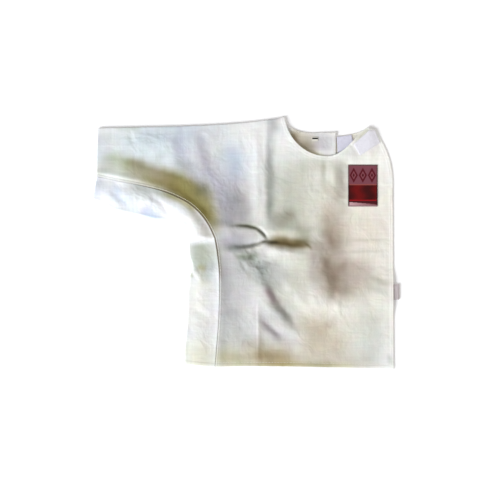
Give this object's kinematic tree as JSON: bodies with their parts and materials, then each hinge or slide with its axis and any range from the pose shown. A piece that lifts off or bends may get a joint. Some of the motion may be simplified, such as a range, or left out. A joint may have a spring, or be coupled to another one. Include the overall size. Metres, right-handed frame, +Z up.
{
  "type": "fencing underarm protector",
  "caption": "White half jacket worn under a fencing jacket: one short sleeve, full front, half back, neck strap and waist elastic, laid flat.",
  "frame": {"origin": "centre of the garment's bounding box, at the surface it lies on", "axes": "+X to the wearer's left, away from the sleeve; +Y from the hem to the neck; +Z up from the surface, out of the front"},
  "size_m": [0.7025, 0.5792, 0.0135],
  "materials": {
    "white_cloth": "dense cotton and polyester twill, matt with a slight sheen",
    "hook_and_loop": "hook-and-loop tape, short nap",
    "elastic": "ribbed woven elastic",
    "woven_patch": "woven patch, satin",
    "woven_label": "woven satin label"
  },
  "bodies": {
    "root": {"front": "white_cloth", "back": "white_cloth", "underarm_panel": "white_cloth", "neck_strap": "white_cloth", "hook_tape": "hook_and_loop", "loop_tape": "hook_and_loop", "waist_strap": "elastic", "chest_patch": "woven_patch", "size_label": "woven_label"}
  },
  "joints": []
}
